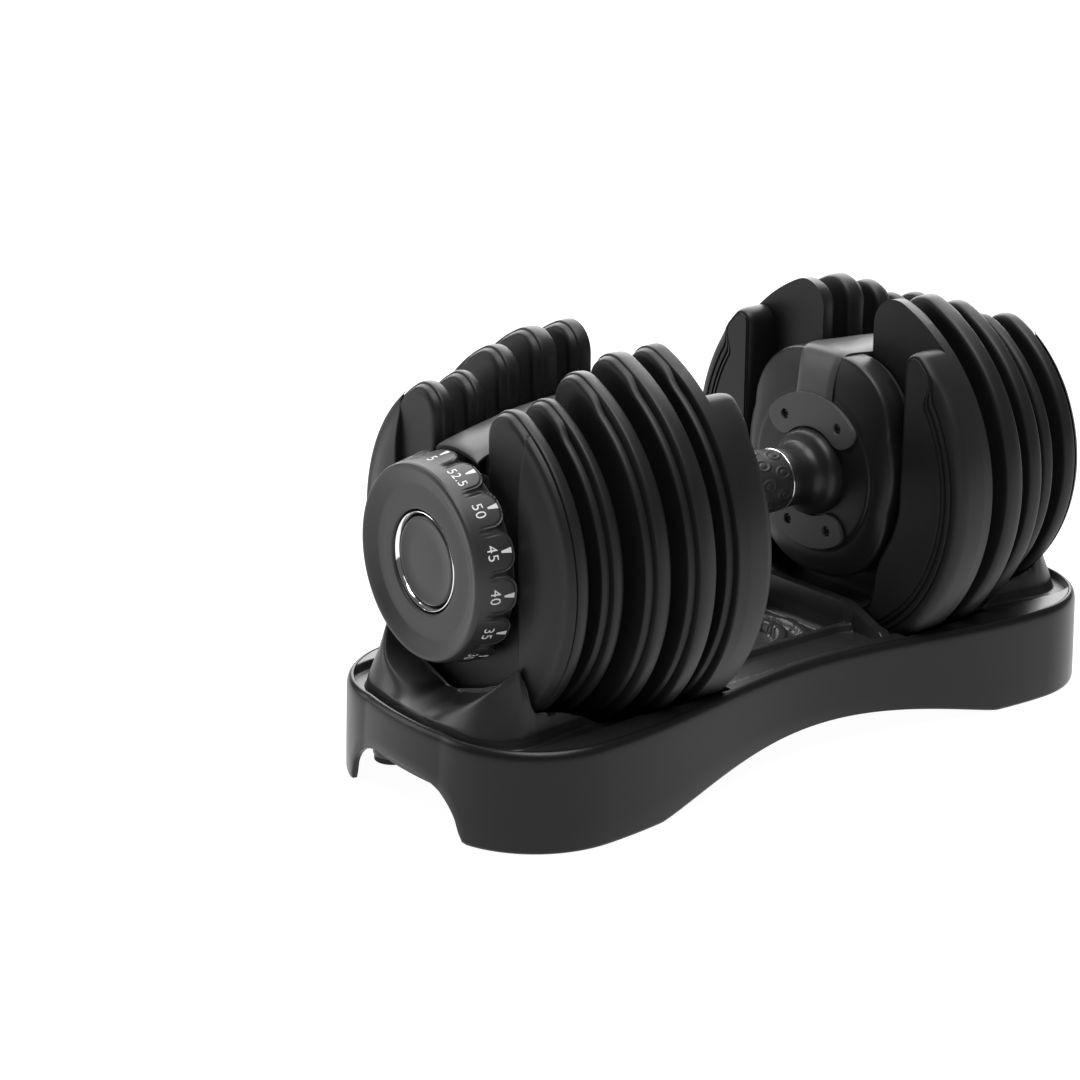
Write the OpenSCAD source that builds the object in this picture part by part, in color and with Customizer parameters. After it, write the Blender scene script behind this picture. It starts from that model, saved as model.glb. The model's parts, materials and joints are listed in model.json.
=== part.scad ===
// Adjustable dumbbell resting in its tray. X runs along the handle, Y across it, +Z up.
// The origin is the middle of the footprint on the floor. Left is -X and right is +X.

/* [Handle] */
// Height of the handle axis above the floor
axis_h = 127; // [126:0.5:129]
// Radius of the rubber grip
grip_r = 16.3; // [15:0.1:17]
// Half the length of the rubber grip
grip_half = 28.5; // [26:0.5:32]
// Radius of the steel axle that everything sits on
axle_r = 8; // [7.5:0.1:8.5]
// Half the width of the inner housing
housing_half_w = 51; // [49:0.5:52]
// Height of the inner housing above the axis
housing_top = 64; // [60:0.5:65]
// Depth of the inner housing below the axis
housing_bottom = 58; // [54:0.5:59]
// Half the width of the bridge strap over the discs
bridge_half_w = 16; // [13:0.5:17]

/* [Plates] */
// Radius of plate 1, the outermost
plate_r1 = 86; // [84:0.5:88]
// Radius of plate 2
plate_r2 = 88; // [86:0.5:90]
// Radius of plate 3
plate_r3 = 97; // [95:0.5:99]
// Radius of plate 4
plate_r4 = 102.5; // [100:0.5:103]
// Radius of plate 5, the innermost
plate_r5 = 103; // [101:0.5:103]
// Distance from the middle of the handle to plate 5
plate_start = 62.5; // [62:0.5:64]
// Air between two plates
plate_gap = 8.5; // [8.5:0.1:9]
// Half the width of the slot that the handle rises through
slot_half_w = 19; // [18:0.5:20]

/* [Dial] */
// Radius of the dial at its back
dial_back_r = 52.5; // [50:0.5:53]
// Radius of the dial at its front
dial_front_r = 48.5; // [46:0.5:50]
// Distance from the middle of the handle to the front of the dial
dial_front = 200; // [198:0.5:202]

/* [Tray] */
// Half the length of the tray
tray_half_l = 214.5; // [212:0.5:217]
// Half the width of the tray at its ends
tray_half_w = 90; // [88:0.5:94]
// Half the width of the tray at its waist
tray_waist = 71; // [70.5:0.5:74]
// Height of the rim above the floor
tray_h = 52; // [50:0.5:53]

/* [Hidden] */
$fn = 96;

// Small distances
eps = 0.01;
fit = 0.05;          // running clearance of a bore on the axle
air = 0.6;           // clearance between a plate and its pocket in the tray

// Plates, numbered 1 to 5 from the dial inwards
plate_r = [plate_r1, plate_r2, plate_r3, plate_r4, plate_r5];
plate_t = [11.5, 10.5, 12.5, 14.5, 28.5];
core_t = [4, 6.8, 10.1, 12.1, 8.6];
function plate_in(k) = k == 5 ? plate_start : plate_out(k + 1) + plate_gap;
function plate_out(k) = plate_in(k) + plate_t[k - 1];
function plate_mid(k) = (plate_in(k) + plate_out(k)) / 2;
skin = 1.2;          // cover over the face of a steel core
rim_cover = 5;       // cover over the rim of a steel core
horn_r = 15;         // rounding of the two horns beside the slot
step_x = 80;         // where plate 5 narrows from its wide slot to its narrow one
wide_slot = 58;      // half the width of plate 5's wide slot
tab_r = [27, 30];    // radii of the steel tab that a selector disc lifts
tab_half_w = 3.5;
tab_reach = 2.2;

// Dial and selector discs
dome_h = 4;           // crown of plate 1 beside the dial
clear_x = plate_out(1) + dome_h;
dial_back = clear_x + 0.5;
dial_floor = 187;
settings = 15;
pitch = 360 / settings;
disc_r = 36;
hub_r = 13.5;
flange_r = [30.6, 34];
flange_gap = 24;     // opening in the flange that lets the tab out

// Housing
housing_in = 57;
housing_out = 79;
screw_r = 2;
screw_circle = 34;
screw_angles = [36, -36, 154, -154];
dome_steps = [60, 64]; // where the front of the housing steps out to its full size
clamp_t = 2.2;        // thickness of the bridge's foot and of the clamp plate
slider_x = [72.5, 75.5];

module along_x(x0, x1) {
    translate([x0, 0, axis_h]) rotate([90, 0, 90]) linear_extrude(x1 - x0) children();
}
module round_x(x0, x1, r) {
    along_x(x0, x1) circle(r);
}
module turned_x() {
    // profile points are (radius, x)
    translate([0, 0, axis_h]) rotate([90, 0, 90]) rotate_extrude() children();
}
module left() { rotate([0, 0, 180]) children(); }
module both_ends() {
    children();
    left() children();
}

function arc(c, r, a0, a1, n) =
    [for (i = [0:n]) c + r * [cos(a0 + (a1 - a0) * i / n), sin(a0 + (a1 - a0) * i / n)]];

// ---- tray ----
waist_end = 154;
corner_r = 58;
end_bulge = 2.5;
wall = 3;
shell_bottom = 1;
pan_z = [26, 32];
island_h = 50;
tower_h = 86;

// Quarter outline of the tray, inset by d
function waist_w(x, d) =
    tray_waist - d + (tray_half_w - tray_waist) * (1 - cos(180 * x / waist_end)) / 2;
function quarter(d) = concat(
    [for (i = [0:8]) let(x = waist_end * i / 8) [x, waist_w(x, d)]],
    arc([waist_end, tray_half_w - corner_r], corner_r - d, 80, 10, 7),
    [for (i = [0:2]) let(y = (tray_half_w - corner_r) * (2 - i) / 2)
        [tray_half_l - d - end_bulge * pow(y / (tray_half_w - corner_r), 2), y]]
);
function reversed(p) = [for (i = [len(p) - 1:-1:0]) p[i]];
function half_outline(d) = concat(
    quarter(d),
    [for (p = reversed(quarter(d))) if (p[1] > eps) [p[0], -p[1]]]
);
function outline(d) = concat(
    half_outline(d),
    [for (p = reversed(half_outline(d))) if (p[0] > eps) [-p[0], p[1]]]
);

module long_arch() {
    arch_half = 118;
    arch_top = 17;
    steps = 12;
    translate([0, tray_half_w + 10, shell_bottom - eps])
        rotate([90, 0, 0])
            linear_extrude(2 * tray_half_w + 20)
                polygon([for (i = [-steps:steps])
                    [arch_half * i / steps, arch_top * (1 - pow(i / steps, 2))]]);
}
module end_arch() {
    arch_half = 46;
    arch_top = 28;
    steps = 10;
    translate([-tray_half_l - 10, 0, shell_bottom - eps])
        rotate([90, 0, 90])
            linear_extrude(2 * tray_half_l + 20)
                polygon([for (i = [-steps:steps]) let(t = sin(90 * i / steps))
                    [arch_half * t, arch_top * sqrt(max(0, 1 - pow(abs(t), 3)))]]);
}
module plate_pockets() {
    both_ends() for (k = [1:5])
        round_x(plate_in(k) - air, k == 1 ? dial_back : plate_out(k) + air, plate_r[k - 1] + air);
}
module boss_places() {
    for (x = [-148, 148], y = [-82, 82]) translate([x, y, 0]) children();
}
module foot_places() {
    for (x = [-176, 176], y = [-60, 60]) translate([x, y, 0]) children();
}
module tray_shell() {
    rim_in = 9;
    color("#1b1b1c") difference() {
        union() {
            difference() {
                translate([0, 0, shell_bottom])
                    linear_extrude(tray_h - shell_bottom) polygon(outline(0));
                translate([0, 0, shell_bottom - 1])
                    linear_extrude(tray_h - shell_bottom - 2) polygon(outline(wall));
                translate([0, 0, shell_bottom])
                    linear_extrude(tray_h) polygon(outline(rim_in));
            }
            boss_places() translate([0, 0, 10]) cylinder(h = 16, r = 7);
        }
        long_arch();
        end_arch();
        plate_pockets();
        boss_places() cylinder(h = 30, r = screw_r + fit);
    }
}
function island_w(x) = 34 + 18 * (1 - cos(180 * min(1, max(0, (abs(x) - 45) / 55)))) / 2;
function island_half() = concat(
    [for (i = [0:12]) let(x = 172 * i / 12) [x, island_w(x)]],
    arc([172, 26], 26, 75, 15, 4),
    [[198, 0]]
);
module island() {
    for (sx = [-1, 1], sy = [-1, 1])
        scale([sx, sy]) polygon(concat([[0, 0]], island_half()));
}
module tower() {
    // two peaks beside the dial, cut by the dial's scoop
    scoop_r = 64;
    half_w = 54;
    front = 203;
    back = plate_out(1) + 1.4;
    difference() {
        translate([0, half_w, 0]) rotate([90, 0, 0]) linear_extrude(2 * half_w)
            polygon([[back, island_h - 8], [back, tower_h], [back + 8, tower_h],
                     [front - 6, island_h], [front - 6, island_h - 8]]);
        round_x(back - 1, front + 1, scoop_r);
        for (s = [-1, 1]) translate([0, s * 74, 76]) rotate([0, 90, 0]) cylinder(h = 300, r = 20);
    }
}
module recess() {
    translate([-57, -34, 40]) cube([114, 68, 30]);
}
module tray_cradle() {
    gap = 0.4;
    color("#161617") difference() {
        union() {
            translate([0, 0, pan_z[0]])
                linear_extrude(pan_z[1] - pan_z[0]) polygon(outline(wall + gap));
            translate([0, 0, 19]) linear_extrude(8) square([300, 84], center = true);
            difference() {
                translate([0, 0, pan_z[1] - 1]) linear_extrude(island_h - pan_z[1] + 1) island();
                recess();
            }
            both_ends() tower();
            foot_places() translate([0, 0, 3]) cylinder(h = 24, r = 11);
        }
        plate_pockets();
        boss_places() {
            translate([0, 0, 20]) cylinder(h = 11.2, r = screw_r + fit);
        }
        translate([0, 0, 10]) linear_extrude(26) square([106, 50], center = true);
        both_ends() translate([184, 0, 10]) linear_extrude(22) square([24, 60], center = true);
    }
}
module tray_feet() {
    color("#0e0e0e") foot_places() cylinder(h = 3, r = 10);
}
module tray_screws() {
    color("#8a8c8f") boss_places() {
        translate([0, 0, 7.6]) cylinder(h = 2.4, r = 4);
        translate([0, 0, 10 - eps]) cylinder(h = 20.5, r = screw_r);
    }
}

// ---- plates ----
module horn_trim(r, s) {
    // takes the sharp corner off a horn and leaves a round top
    cx = slot_half_w + horn_r;
    cz = sqrt(pow(r - horn_r, 2) - cx * cx);
    far = 1.6 * horn_r / (r - horn_r);
    scale([s, 1]) difference() {
        polygon([[slot_half_w - 1, cz], [cx, cz], [cx * (1 + far), cz * (1 + far)],
                 [slot_half_w - 1, r + 5]]);
        translate([cx, cz]) circle(horn_r);
    }
}
module slot_profile(r) {
    circle(slot_half_w);
    translate([-slot_half_w, 0]) square([2 * slot_half_w, r + 1]);
    for (s = [-1, 1]) horn_trim(r, s);
}
module core_profile(r) {
    w = slot_half_w + 3;
    difference() {
        circle(r - rim_cover);
        circle(w);
        translate([-w, 0]) square([2 * w, r]);
    }
}
// rounded outline round the housing, grown by g
function housing_points(g) = concat(
    arc([housing_half_w - 38, housing_top - 38], 38 + g, 0, 90, 8),
    arc([38 - housing_half_w, housing_top - 38], 38 + g, 90, 180, 8),
    arc([45 - housing_half_w, 45 - housing_bottom], 45 + g, 180, 270, 8),
    arc([housing_half_w - 45, 45 - housing_bottom], 45 + g, 270, 360, 8)
);
// one side of the funnel that plate 5's wide slot narrows into
funnel = [[wide_slot, -8], [57, -14], [54.5, -22], [50.5, -30], [46, -38], [43.5, -46],
          [42.5, -58], [38.5, -66], [30, -69]];
module wide_slot_profile(extra) {
    grow = 1 + extra / wide_slot;
    polygon(concat([for (p = funnel) grow * p],
                   [for (p = reversed(funnel)) grow * [-p[0], p[1]]]));
    translate([-wide_slot - extra, -8 * grow]) square([2 * (wide_slot + extra), 120]);
}
module core_tab(k) {
    translate([plate_out(k) - skin - 1, -tab_half_w, axis_h - tab_r[1]])
        cube([tab_reach + skin + 1, 2 * tab_half_w, tab_r[1] - tab_r[0]]);
}
module plate_core(k) {
    x1 = plate_out(k) - skin;
    r = plate_r[k - 1];
    color("#6e7073") union() {
        along_x(x1 - core_t[k - 1], x1) core_profile(r);
        core_tab(k);
        if (k == 5) along_x(plate_start + 2, x1 - core_t[4] + eps) difference() {
            circle(r - rim_cover);
            wide_slot_profile(3);
        }
    }
}
module dome() {
    // crowned outer face of plate 1, beside the flat strip round the slot
    x0 = plate_out(1);
    flat = 50;
    difference() {
        turned_x() polygon([[30, x0 - 1], [plate_r1, x0 - 1], [plate_r1, x0 + eps], [83, x0 + 1.6],
                            [77, x0 + 3], [70, clear_x - 0.3], [62, clear_x], [30, clear_x]]);
        translate([0, -flat, 0]) cube([300, 2 * flat, 300]);
        round_x(x0 - 2, 200, 40);
    }
}
module plate_cover(k) {
    r = plate_r[k - 1];
    color("#222223") difference() {
        union() {
            round_x(plate_in(k), plate_out(k), r);
            if (k == 1) dome();
        }
        along_x(plate_in(k) - 1, plate_out(k) + 1) slot_profile(r);
        if (k == 5) along_x(plate_start - 1, step_x) wide_slot_profile(0);
        plate_core(k);
    }
}

// ---- handle ----
module axle() {
    color("#9a9c9f") difference() {
        round_x(-191.5, 191.5, axle_r);
        // flats that the end nuts clamp on
        both_ends() for (s = [-1, 1])
            translate([187.2, s * (axle_r + 3.4) - 4, axis_h - 10]) cube([6, 8, 20]);
    }
}
module grip_tube() {
    color("#8d8f92") difference() {
        round_x(-housing_in, housing_in, 12);
        round_x(-60, 60, axle_r + fit);
    }
}
module grip() {
    color("#141414") turned_x() polygon([
        [12 + fit, -grip_half], [grip_r - 0.3, -grip_half], [grip_r, 4 - grip_half],
        [grip_r + 0.9, 0], [grip_r, grip_half - 4], [grip_r - 0.3, grip_half],
        [12 + fit, grip_half]]);
}
module grip_rings() {
    color("#d5d7da") both_ends() difference() {
        round_x(grip_half + fit, grip_half + 1.6, grip_r + 0.2);
        round_x(0, 60, 12 + fit);
    }
}
module collar() {
    x0 = grip_half + 1.6 + fit;
    color("#1e1e1f") turned_x() polygon([
        [12 + fit, x0], [grip_r, x0], [grip_r - 0.4, x0 + 6], [14.8, 47], [15.4, 51],
        [18.5, 54], [22, 55.2], [22, housing_in - fit], [12 + fit, housing_in - fit]]);
}
module screw_places() {
    for (a = screw_angles)
        translate([0, 0, axis_h]) rotate([a, 0, 0]) translate([0, 0, screw_circle]) children();
}
module housing() {
    color("#1c1c1d") difference() {
        union() {
            along_x(dome_steps[1], housing_out - 2.5) polygon(housing_points(0));
            along_x(dome_steps[0], dome_steps[1] + eps) polygon(housing_points(-5));
            along_x(housing_in, dome_steps[0] + eps) polygon(housing_points(-12));
        }
        // cavity for the lock and the index ring, open at the back
        along_x(63, housing_out) difference() {
            polygon(housing_points(-9));
            circle(18);
            for (a = screw_angles) rotate(a) translate([0, screw_circle]) circle(5);
        }
        along_x(66, housing_out) circle(19);
        round_x(housing_in - 1, 80, axle_r + 3 * fit);
        screw_places() rotate([0, 90, 0]) translate([0, 0, 50]) cylinder(h = 23, r = screw_r + fit);
        translate([59, -7, axis_h - 70]) cube([10, 14, 30]);
    }
}
module housing_back() {
    color("#19191a") difference() {
        along_x(housing_out - 2.5 + fit, housing_out) polygon(housing_points(-0.5));
        round_x(70, 90, hub_r + 1);
    }
}
module arc_plate(half_angle, up) {
    x0 = housing_in - clamp_t;
    ri = 24.5;
    ro = 43;
    difference() {
        along_x(x0, housing_in - fit) rotate(up ? 0 : 180) difference() {
            intersection() {
                circle(ro);
                polygon(concat([[0, 0]], arc([0, 0], 60, 90 - half_angle, 90 + half_angle, 6)));
            }
            circle(ri);
        }
        screw_places() rotate([0, 90, 0]) translate([0, 0, 50]) cylinder(h = 20, r = screw_r + fit);
        screw_places() rotate([0, 90, 0]) translate([0, 0, x0 - 1]) cylinder(h = 2.1, r = 3.7);
    }
}
module bridge() {
    top = axis_h + housing_top;
    x0 = housing_in - clamp_t;
    color("#3a3a3b") union() {
        arc_plate(54, true);
        translate([0, bridge_half_w - 3, 0]) rotate([90, 0, 0]) linear_extrude(2 * bridge_half_w - 6)
            polygon([[x0, axis_h + 36], [x0, axis_h + 45], [x0 + 1.2, top - 12], [x0 + 3.4, top - 4.8],
                     [x0 + 7, top + 0.6], [x0 + 11, top + 2.8], [70, top + 3.3], [70, top + 0.3],
                     [64, top + 0.3], [61, top - 4.6],
                     [59.6, top - 4.6], [59.6, top - 11.8], [housing_in - fit, top - 11.8],
                     [housing_in - fit, axis_h + 36]]);
        translate([0, bridge_half_w, 0]) rotate([90, 0, 0]) linear_extrude(2 * bridge_half_w)
            polygon([[64, top + 0.3], [64, top + 1.8], [68, top + 3.2], [82, top + 3.6],
                     [130, top + 1.6], [170, top - 5.5], [177.6, top - 10], [177.6, top - 12.5],
                     [170, top - 8.6], [130, top - 1.2], [82, top + 0.9], [79.3, top + 0.9],
                     [79.3, top + 0.3]]);
    }
}
module clamp_plate() {
    color("#2c2c2d") arc_plate(42, false);
}
module clamp_screws() {
    x0 = housing_in - clamp_t;
    color("#2a2a2b") both_ends() screw_places() rotate([0, 90, 0]) {
        translate([0, 0, x0 - 0.1]) cylinder(h = 1.1, r = 3.5);
        translate([0, 0, x0 + 0.9]) cylinder(h = 16, r = screw_r);
    }
}
module lock_slider() {
    // frame round the hub: the tooth on top is held out of the index ring in the tray
    color("#b8b9bb") difference() {
        union() {
            along_x(slider_x[0], slider_x[1]) difference() {
                translate([-28, -38.5]) square([56, 75.5]);
                translate([-21.5, -25]) square([43, 50.6]);
            }
            along_x(slider_x[0], slider_x[1]) polygon([[-2, 26], [2, 26], [1.2, 21.6], [-1.2, 21.6]]);
        }
        screw_places() rotate([0, 90, 0]) translate([0, 0, 60]) cylinder(h = 30, r = 5.3);
    }
}
module lock_spring() {
    spring_r = [1.6, 2.4];
    color("#c9cbce") for (i = [0:4]) translate([74, 0, axis_h + 37.4 + 3.4 * i])
        difference() {
            cylinder(h = 1.1, r = spring_r[1]);
            translate([0, 0, -1]) cylinder(h = 3, r = spring_r[0]);
        }
}

// ---- dial and selector discs ----
module dial() {
    color("#2b2b2c") difference() {
        turned_x() polygon([
            [0, dial_back + fit], [dial_back_r - 1, dial_back + fit], [dial_back_r, dial_back + 1],
            [dial_front_r, dial_front - 2], [dial_front_r - 1.5, dial_front],
            [38, dial_front - 2.2], [25.3, dial_front - 2.2], [25.3, dial_floor], [0, dial_floor]]);
        round_x(170, 210, axle_r + fit);
    }
}
module dial_ring() {
    color("#d9dbde") turned_x() polygon([
        [22.3, 191], [25.2, 191], [25.2, 197.2], [24.4, 197.2], [22.3, 195]]);
}
module dial_cap() {
    color("#2d2d2e") turned_x() polygon([
        [0, 193], [22.2, 193], [22.2, 194.4], [20.5, 195], [0, 195.4]]);
}
module end_nut() {
    color("#a3a5a8") difference() {
        along_x(dial_floor + 0.4, 192.4) circle(11, $fn = 6);
        round_x(180, 200, axle_r + fit);
    }
}
module index_ring() {
    color("#9b9da0") difference() {
        round_x(70, 82, hub_r);
        round_x(60, 90, axle_r + fit);
    }
    color("#9b9da0") difference() {
        round_x(slider_x[0], slider_x[1], 20.5);
        round_x(60, 90, hub_r - eps);
        translate([0, 0, axis_h]) for (i = [0:settings - 1]) rotate([i * pitch, 0, 0])
            translate([slider_x[0] - 0.5, -1.6, 17.6]) cube([4, 3.2, 4]);
    }
}
// settings at which each plate is picked up, counted from the lightest
picks = [[1, 3, 5, 7, 14], [2, 3, 8, 11, 13, 14], [4, 5, 9, 12, 13, 14],
         [6, 7, 8, 9, 10, 11, 12, 13, 14], [10, 11, 12, 13, 14]];
function disc_hub_in(k) = k == 5 ? 82 : plate_mid(k);
function disc_hub_out(k) = k == 1 ? dial_back : plate_mid(k - 1);
module selector_disc(k) {
    x0 = plate_out(k);
    web = k == 1 ? [x0 + 2.7, dial_back] : [x0 + 3.2, x0 + 5.2];
    difference() {
        union() {
            round_x(disc_hub_in(k), disc_hub_out(k), hub_r);
            round_x(web[0], web[1], disc_r);
            // a flange passes under the plate's tab at the settings that lift the plate
            for (i = picks[k - 1]) along_x(x0 + 0.7, web[0] + eps) rotate(180 + i * pitch)
                difference() {
                    intersection() {
                        circle(flange_r[1]);
                        polygon(concat([[0, 0]], arc([0, 0], 60, 90 - pitch / 2, 90 + pitch / 2, 2)));
                    }
                    circle(flange_r[0]);
                }
        }
        round_x(60, 200, axle_r + fit);
    }
}
module selector_discs() {
    color("#a9abae") for (k = [1:5]) selector_disc(k);
}

tray_shell();
tray_cradle();
tray_feet();
tray_screws();
grip();
grip_rings();
grip_tube();
axle();
left() collar();  // collar_left
collar();  // collar_right
left() housing();  // housing_left
housing();  // housing_right
left() housing_back();  // housing_back_left
housing_back();  // housing_back_right
left() bridge();  // bridge_left
bridge();  // bridge_right
left() clamp_plate();  // clamp_plate_left
clamp_plate();  // clamp_plate_right
clamp_screws();
left() lock_slider();  // lock_slider_left
lock_slider();  // lock_slider_right
left() lock_spring();  // lock_spring_left
lock_spring();  // lock_spring_right
left() dial();  // dial_left
dial();  // dial_right
left() dial_ring();  // dial_ring_left
dial_ring();  // dial_ring_right
left() dial_cap();  // dial_cap_left
dial_cap();  // dial_cap_right
left() end_nut();  // end_nut_left
end_nut();  // end_nut_right
left() index_ring();  // index_ring_left
index_ring();  // index_ring_right
left() selector_discs();  // selector_discs_left
selector_discs();  // selector_discs_right
left() plate_cover(1);  // plate_1_cover_left
left() plate_cover(2);  // plate_2_cover_left
left() plate_cover(3);  // plate_3_cover_left
left() plate_cover(4);  // plate_4_cover_left
left() plate_cover(5);  // plate_5_cover_left
plate_cover(1);  // plate_1_cover_right
plate_cover(2);  // plate_2_cover_right
plate_cover(3);  // plate_3_cover_right
plate_cover(4);  // plate_4_cover_right
plate_cover(5);  // plate_5_cover_right
left() plate_core(1);  // plate_1_core_left
left() plate_core(2);  // plate_2_core_left
left() plate_core(3);  // plate_3_core_left
left() plate_core(4);  // plate_4_core_left
left() plate_core(5);  // plate_5_core_left
plate_core(1);  // plate_1_core_right
plate_core(2);  // plate_2_core_right
plate_core(3);  // plate_3_core_right
plate_core(4);  // plate_4_core_right
plate_core(5);  // plate_5_core_right
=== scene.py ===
"""Looks of the adjustable dumbbell in its tray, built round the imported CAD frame.

Mesh lengths are in mm; the floor, lamps and camera are in metres.
"""
import json
import math

import bmesh
import bpy
import numpy as np
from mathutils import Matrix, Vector


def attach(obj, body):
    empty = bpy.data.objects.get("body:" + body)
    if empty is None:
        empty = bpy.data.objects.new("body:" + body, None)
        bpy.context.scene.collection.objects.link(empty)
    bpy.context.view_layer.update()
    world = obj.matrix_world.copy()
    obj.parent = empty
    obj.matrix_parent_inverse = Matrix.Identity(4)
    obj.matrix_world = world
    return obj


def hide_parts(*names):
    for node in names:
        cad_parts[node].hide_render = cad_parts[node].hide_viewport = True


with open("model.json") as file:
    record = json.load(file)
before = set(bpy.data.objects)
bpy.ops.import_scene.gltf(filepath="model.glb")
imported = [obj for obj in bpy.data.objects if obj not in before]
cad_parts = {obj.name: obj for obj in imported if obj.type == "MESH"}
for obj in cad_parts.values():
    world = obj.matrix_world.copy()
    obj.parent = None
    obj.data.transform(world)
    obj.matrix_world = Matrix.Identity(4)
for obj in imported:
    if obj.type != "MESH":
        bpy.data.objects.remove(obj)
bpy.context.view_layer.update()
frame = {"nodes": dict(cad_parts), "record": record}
H = 127.0  # height of the handle's axis
PI = math.pi
SIDES = ("left", "right")
scene = bpy.context.scene


# ---------------------------------------------------------------- materials
def material(name, base, rough, metal=0.0, vary=0.25, vary_scale=25, rough_vary=0.08,
             bump=0.05, bump_scale=1400, stretch=(1, 1, 1), spec=0.5, coat=0.0, coat_rough=0.2):
    """Shader with slow colour drift, fine mottled roughness and a fine moulded or brushed texture."""
    m = bpy.data.materials.new(name)
    m.use_nodes = True
    nt = m.node_tree
    b = nt.nodes["Principled BSDF"]
    b.inputs["Metallic"].default_value = metal
    b.inputs["Specular IOR Level"].default_value = spec
    b.inputs["Coat Weight"].default_value = coat
    b.inputs["Coat Roughness"].default_value = coat_rough
    tc = nt.nodes.new("ShaderNodeTexCoord")
    mp = nt.nodes.new("ShaderNodeMapping")
    mp.inputs["Scale"].default_value = stretch
    nt.links.new(tc.outputs["Object"], mp.inputs["Vector"])
    slow = nt.nodes.new("ShaderNodeTexNoise")
    slow.inputs["Scale"].default_value = vary_scale
    slow.inputs["Detail"].default_value = 4
    nt.links.new(tc.outputs["Object"], slow.inputs["Vector"])
    ramp = nt.nodes.new("ShaderNodeMix")
    ramp.data_type = "RGBA"
    lo = [c * (1 - vary) for c in base]
    hi = [min(1, c * (1 + vary)) for c in base]
    ramp.inputs["A"].default_value = (*lo, 1)
    ramp.inputs["B"].default_value = (*hi, 1)
    nt.links.new(slow.outputs["Fac"], ramp.inputs["Factor"])
    nt.links.new(ramp.outputs["Result"], b.inputs["Base Color"])
    fine = nt.nodes.new("ShaderNodeTexNoise")
    fine.inputs["Scale"].default_value = bump_scale
    fine.inputs["Detail"].default_value = 3
    nt.links.new(mp.outputs["Vector"], fine.inputs["Vector"])
    rr = nt.nodes.new("ShaderNodeMapRange")
    rr.inputs["To Min"].default_value = max(0.02, rough - rough_vary)
    rr.inputs["To Max"].default_value = min(1, rough + rough_vary)
    nt.links.new(slow.outputs["Fac"], rr.inputs["Value"])
    nt.links.new(rr.outputs["Result"], b.inputs["Roughness"])
    bp = nt.nodes.new("ShaderNodeBump")
    bp.inputs["Strength"].default_value = bump
    bp.inputs["Distance"].default_value = 0.0004
    nt.links.new(fine.outputs["Fac"], bp.inputs["Height"])
    nt.links.new(bp.outputs["Normal"], b.inputs["Normal"])
    return m


G = (0.5, 0.5, 0.505)


def grey(v):
    return tuple(v * c * 2 for c in G)


M = {
    "plate_cover": material("plate_overmould", grey(0.008), 0.44, bump=0.12, bump_scale=1500, spec=0.28),
    "plate_core": material("cast_core", grey(0.2), 0.6, metal=1, bump=0.3, bump_scale=900),
    # The tray's shell and cradle are one plastic. The shell's base is darkened as painted shade for its side walls,
    # and the cradle's base is lightened as painted light for its up-facing deck.
    "tray_shell": material("tray_shell_plastic_painted_shade", grey(0.006), 0.32, bump=0.05, bump_scale=2200,
                           rough_vary=0.04, spec=0.27),
    "tray_cradle": material("tray_cradle_plastic_painted_light", grey(0.012), 0.38, bump=0.06, bump_scale=2000, spec=0.5),
    "foot_rubber": material("foot_rubber", grey(0.01), 0.8, bump=0.2),
    "screw_steel": material("screw_steel", grey(0.45), 0.35, metal=1, bump=0.05),
    "grip_rubber": material("grip_rubber", grey(0.008), 0.55, bump=0.22, bump_scale=1800, spec=0.4),
    "chrome": material("chrome", grey(0.82), 0.09, metal=1, rough_vary=0.03, vary=0.05, bump=0.01),
    "bare_steel": material("turned_steel", grey(0.5), 0.32, metal=1, bump=0.08, bump_scale=900,
                           stretch=(1, 8, 8)),
    "black_screw": material("black_screw", grey(0.02), 0.35, bump=0.05, spec=0.6),
    "collar": material("collar_plastic", grey(0.007), 0.42, bump=0.04, coat=0.1, spec=0.28),
    "housing": material("housing_plastic", grey(0.008), 0.42, bump=0.07, bump_scale=2000, spec=0.28),
    "housing_back": material("housing_back_plastic", grey(0.014), 0.55, bump=0.08),
    "bridge": material("bridge_paint", grey(0.055), 0.42, bump=0.06, bump_scale=2400, spec=0.4),
    "clamp_plate": material("clamp_paint", grey(0.028), 0.42, bump=0.05, bump_scale=2400, spec=0.3),
    "spring_steel": material("spring_steel", grey(0.6), 0.25, metal=1),
    "dial": material("dial_plastic", grey(0.018), 0.42, bump=0.07, bump_scale=2200, spec=0.42),
    "dial_cap": material("dial_cap_plastic", grey(0.017), 0.36, bump=0.05, bump_scale=2200, spec=0.42),
    "selector_steel": material("selector_steel", grey(0.42), 0.4, metal=1, bump=0.1, bump_scale=700,
                               stretch=(1, 6, 6)),
    "print": material("dial_print", grey(0.62), 0.5, bump=0.03, vary=0.06),
}
for r in frame["record"]["subparts"]:
    o = frame["nodes"][r["node"]]
    o.data.materials.clear()
    o.data.materials.append(M[r["material_slot"]])


# ---------------------------------------------------------------- mesh helpers
def place(p, side):
    x, y, z = p
    if side == "left":
        x, y = -x, -y
    return (x / 1000, y / 1000, (z + H) / 1000)


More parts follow.
